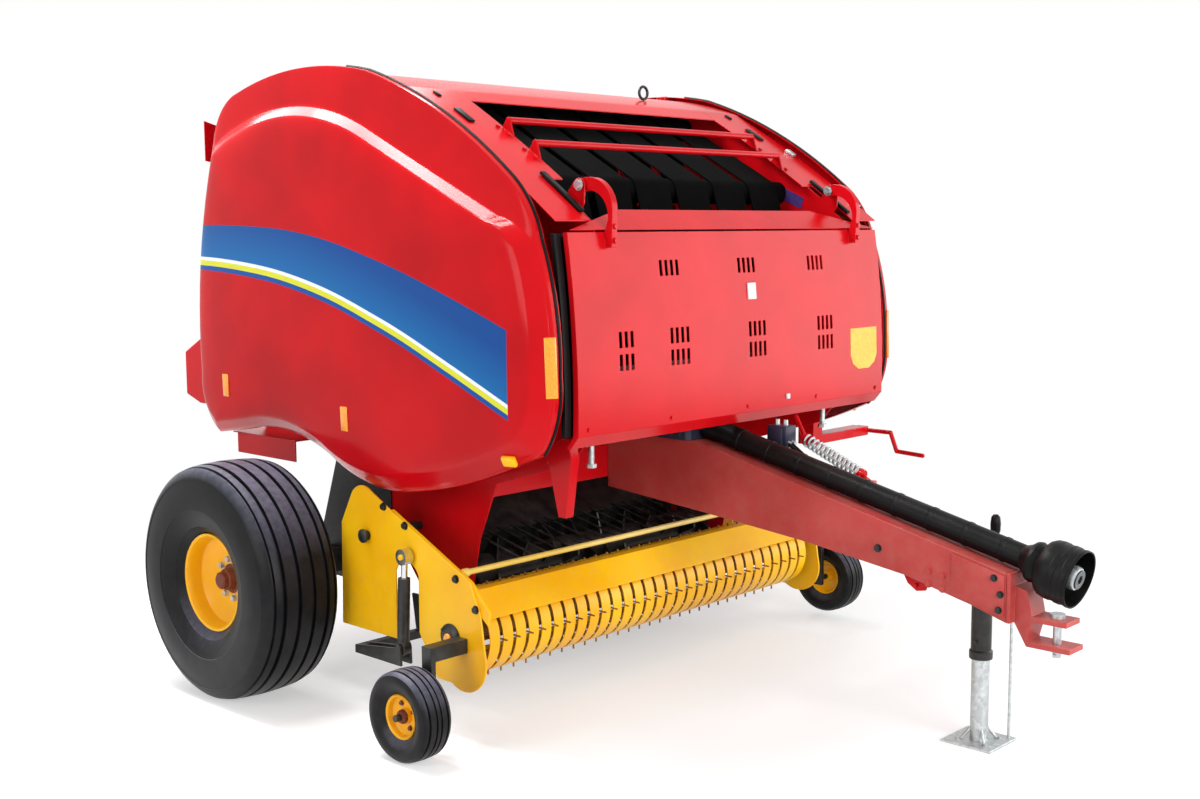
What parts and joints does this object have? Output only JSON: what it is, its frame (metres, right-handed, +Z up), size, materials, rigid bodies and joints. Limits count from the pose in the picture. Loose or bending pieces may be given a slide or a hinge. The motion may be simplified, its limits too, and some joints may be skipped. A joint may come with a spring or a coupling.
{
  "type": "round baler",
  "caption": "Towed round baler with bulged side shields, front door, tailgate, wide tined pickup on gauge wheels, tongue with driveline and parking jack.",
  "frame": {"origin": "on the ground, under the middle of the machine's length and width", "axes": "+X forward along the tongue, +Y to the machine's left, +Z up"},
  "size_m": [4.3118, 3.2, 2.7681],
  "materials": {
    "red": "gloss red paint",
    "yellow": "satin yellow paint",
    "black_paint": "satin black paint",
    "tyre_rubber": "moulded tyre rubber",
    "belt_rubber": "rolled belt rubber",
    "black_plastic": "moulded black plastic",
    "zinc": "galvanised steel",
    "steel": "worn bare steel",
    "rod_chrome": "polished rod",
    "lens": "moulded red lens plastic",
    "gearbox_iron": "painted casting"
  },
  "bodies": {
    "frame": {"axle": "black_paint", "chamber_rollers": "steel", "corner_panels": "black_plastic", "crank_handle": "black_paint", "cross_beam": "red", "cross_tubes": "red", "door_head": "red", "drive_tube": "black_paint", "frame_side_sheets": "red", "front_belt_rollers": "steel", "front_belts": "belt_rubber", "gearbox": "gearbox_iron", "hitch_clevis": "red", "jack_handle": "black_paint", "jack_tube": "black_paint", "left_outrigger": "red", "lifting_eye": "black_paint", "lift_cylinder_barrel": "black_paint", "pickup_pivots": "black_paint", "pto_guard": "black_plastic", "right_bracket": "red", "roof_panel": "red", "tailgate_pivots": "black_paint", "tongue": "red", "top_rails": "red"},
    "wheel_left": {"tyre_left": "tyre_rubber", "rim_left": "yellow"},
    "wheel_right": {"tyre_right": "tyre_rubber", "rim_right": "yellow"},
    "pickup": {"pickup_sides": "yellow", "pickup_beam": "yellow", "pickup_bands": "yellow", "gauge_arms": "black_paint", "windguard": "yellow"},
    "reel": {"pickup_reel": "yellow"},
    "gauge_left": {"gauge_tyre_left": "tyre_rubber", "gauge_rim_left": "yellow"},
    "gauge_right": {"gauge_tyre_right": "tyre_rubber", "gauge_rim_right": "yellow"},
    "rotor": {"feed_rotor": "black_paint"},
    "front_door": {"front_door": "red"},
    "shield_left": {"side_shield_left": "red"},
    "shield_right": {"side_shield_right": "red"},
    "tailgate": {"tailgate_shell": "red", "rear_belts": "belt_rubber", "rear_belt_rollers": "steel", "lamp_boxes": "red", "lamp_lenses": "lens"},
    "tail_barrels": {"tail_cylinder_barrel": "black_paint"},
    "tail_rods": {"tail_cylinder_rod": "rod_chrome"},
    "lift_rod": {"lift_cylinder_rod": "rod_chrome"},
    "jack_leg": {"jack_leg": "zinc"},
    "pto_shaft": {"pto_shaft": "steel"}
  },
  "joints": [
    {"name": "wheel_left_spin", "type": "hinge", "parent": "frame", "child": "wheel_left", "pos_m": [-1.15564, 1.4, 0.527], "axis": [0, 1, 0], "continuous": true},
    {"name": "wheel_right_spin", "type": "hinge", "parent": "frame", "child": "wheel_right", "pos_m": [-1.15564, -1.4, 0.527], "axis": [0, 1, 0], "continuous": true},
    {"name": "pickup_lift", "type": "hinge", "parent": "frame", "child": "pickup", "pos_m": [-0.54364, 0, 0.765], "axis": [0, -1, 0], "range_deg": [0, 12]},
    {"name": "reel_spin", "type": "hinge", "parent": "pickup", "child": "reel", "pos_m": [-0.00564, 0, 0.418], "axis": [0, 1, 0], "continuous": true},
    {"name": "gauge_left_spin", "type": "hinge", "parent": "pickup", "child": "gauge_left", "pos_m": [0.06836, 1.425, 0.228], "axis": [0, 1, 0], "continuous": true},
    {"name": "gauge_right_spin", "type": "hinge", "parent": "pickup", "child": "gauge_right", "pos_m": [0.06836, -1.425, 0.183], "axis": [0, 1, 0], "continuous": true},
    {"name": "rotor_spin", "type": "hinge", "parent": "frame", "child": "rotor", "pos_m": [-0.35564, 0, 0.56], "axis": [0, 1, 0], "continuous": true},
    {"name": "front_door_open", "type": "hinge", "parent": "frame", "child": "front_door", "pos_m": [0.45936, 0, 2.235], "axis": [0, -1, 0], "range_deg": [0, 80]},
    {"name": "shield_left_open", "type": "hinge", "parent": "frame", "child": "shield_left", "pos_m": [-1.15564, 1.074, 2.755], "axis": [1, 0, 0], "range_deg": [0, 60]},
    {"name": "shield_right_open", "type": "hinge", "parent": "frame", "child": "shield_right", "pos_m": [-1.15564, -1.074, 2.755], "axis": [-1, 0, 0], "range_deg": [0, 60]},
    {"name": "tailgate_open", "type": "hinge", "parent": "frame", "child": "tailgate", "pos_m": [-0.90564, 0, 2.615], "axis": [0, 1, 0], "range_deg": [0, 60]},
    {"name": "tail_barrel_swing", "type": "hinge", "parent": "frame", "child": "tail_barrels", "pos_m": [-0.73564, 0, 1.4], "axis": [0, 1, 0], "range_deg": [-1, 5]},
    {"name": "tail_rod_slide", "type": "slide", "parent": "tail_barrels", "child": "tail_rods", "axis": [-0.3567, 0, 0.9342], "range_m": [0, 0.3]},
    {"name": "lift_rod_slide", "type": "slide", "parent": "frame", "child": "lift_rod", "axis": [0.0512, 0, 0.9987], "range_m": [0, 0.065]},
    {"name": "jack_leg_slide", "type": "slide", "parent": "frame", "child": "jack_leg", "axis": [0, 0, 1], "range_m": [0, 0.25]},
    {"name": "pto_shaft_spin", "type": "hinge", "parent": "frame", "child": "pto_shaft", "pos_m": [0.40436, 0, 1.205], "axis": [0.9737, 0, -0.228], "continuous": true}
  ],
  "couplings": [
    {"joint": "tail_barrel_swing", "follows": "tailgate_open", "ratio": 0.063},
    {"joint": "tail_rod_slide", "follows": "tailgate_open", "m_per_rad": 0.254},
    {"joint": "lift_rod_slide", "follows": "pickup_lift", "m_per_rad": 0.291}
  ]
}
